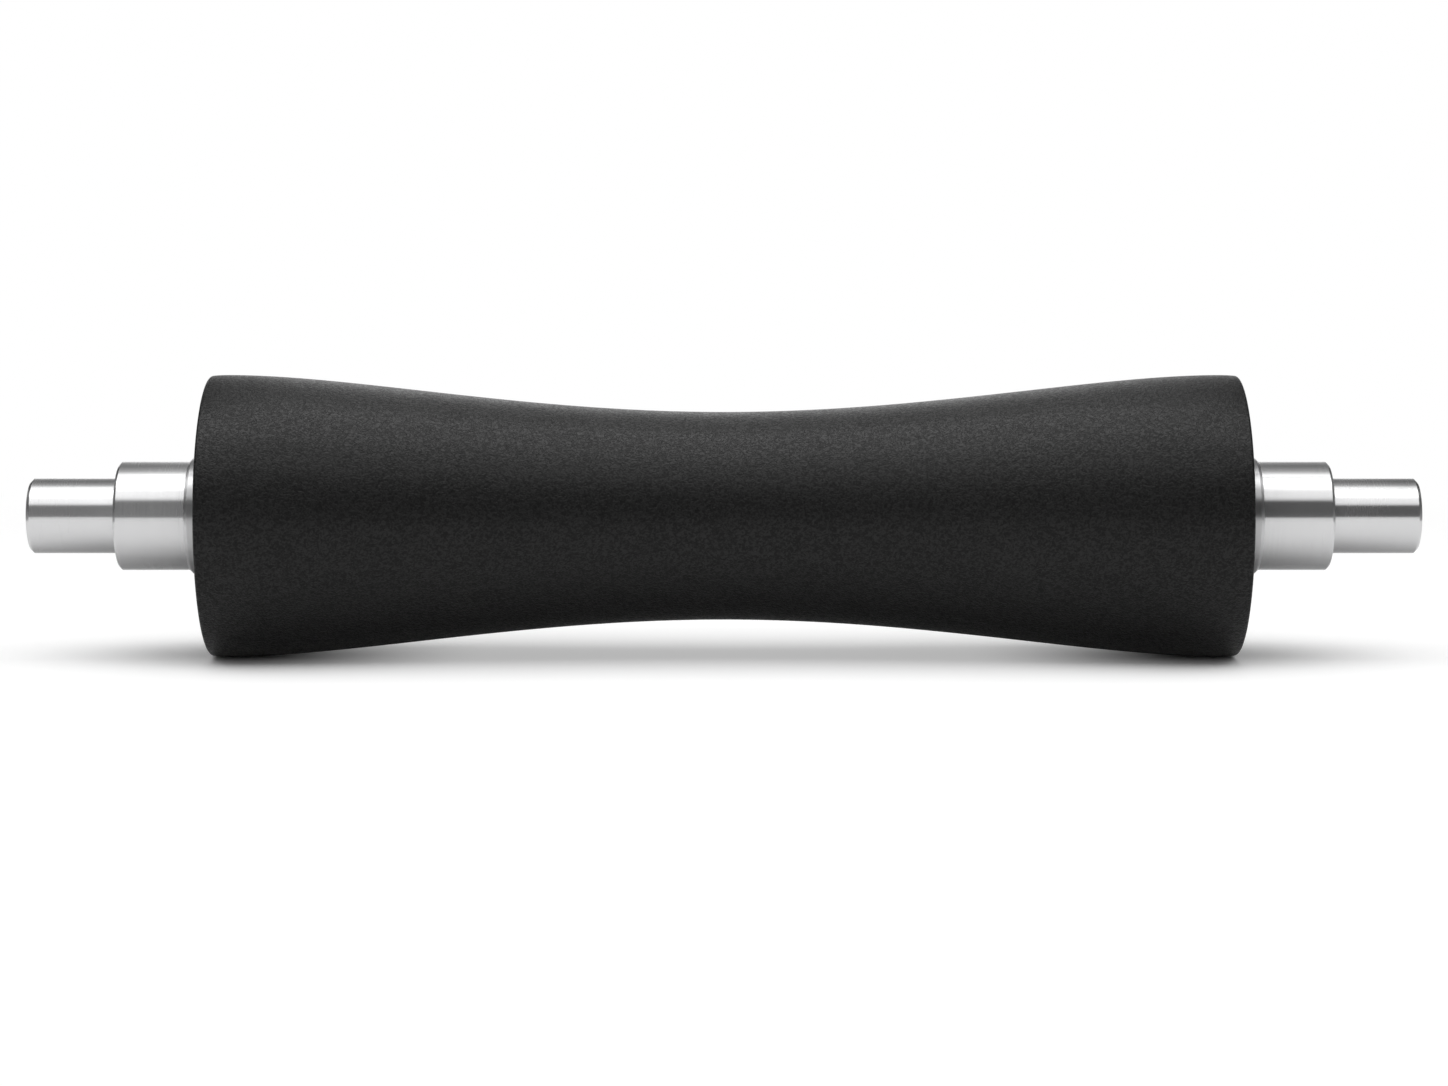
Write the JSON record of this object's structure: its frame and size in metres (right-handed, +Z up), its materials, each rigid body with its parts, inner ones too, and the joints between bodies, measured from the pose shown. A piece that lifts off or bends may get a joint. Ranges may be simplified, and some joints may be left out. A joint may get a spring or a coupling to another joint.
{
  "type": "concave roller",
  "caption": "Hourglass roller: a black rubber cover, thinner at mid length, bonded on a stepped steel shaft with a bearing journal at each end.",
  "frame": {"origin": "on the roller's axis, at mid length between the two shaft ends", "axes": "+X along the roller's axis of rotation, +Z up as the roller lies in the picture, +Y away from the picture's camera"},
  "size_m": [0.37, 0.0752, 0.0752],
  "materials": {
    "ground_steel": "bright fine-turned and ground steel with faint rings around the axis and crisp 45 degree chamfers",
    "black_rubber": "satin black rubber with a fine pebbled grain"
  },
  "bodies": {
    "root": {"shaft": "ground_steel", "rubber_cover": "black_rubber"}
  },
  "joints": []
}
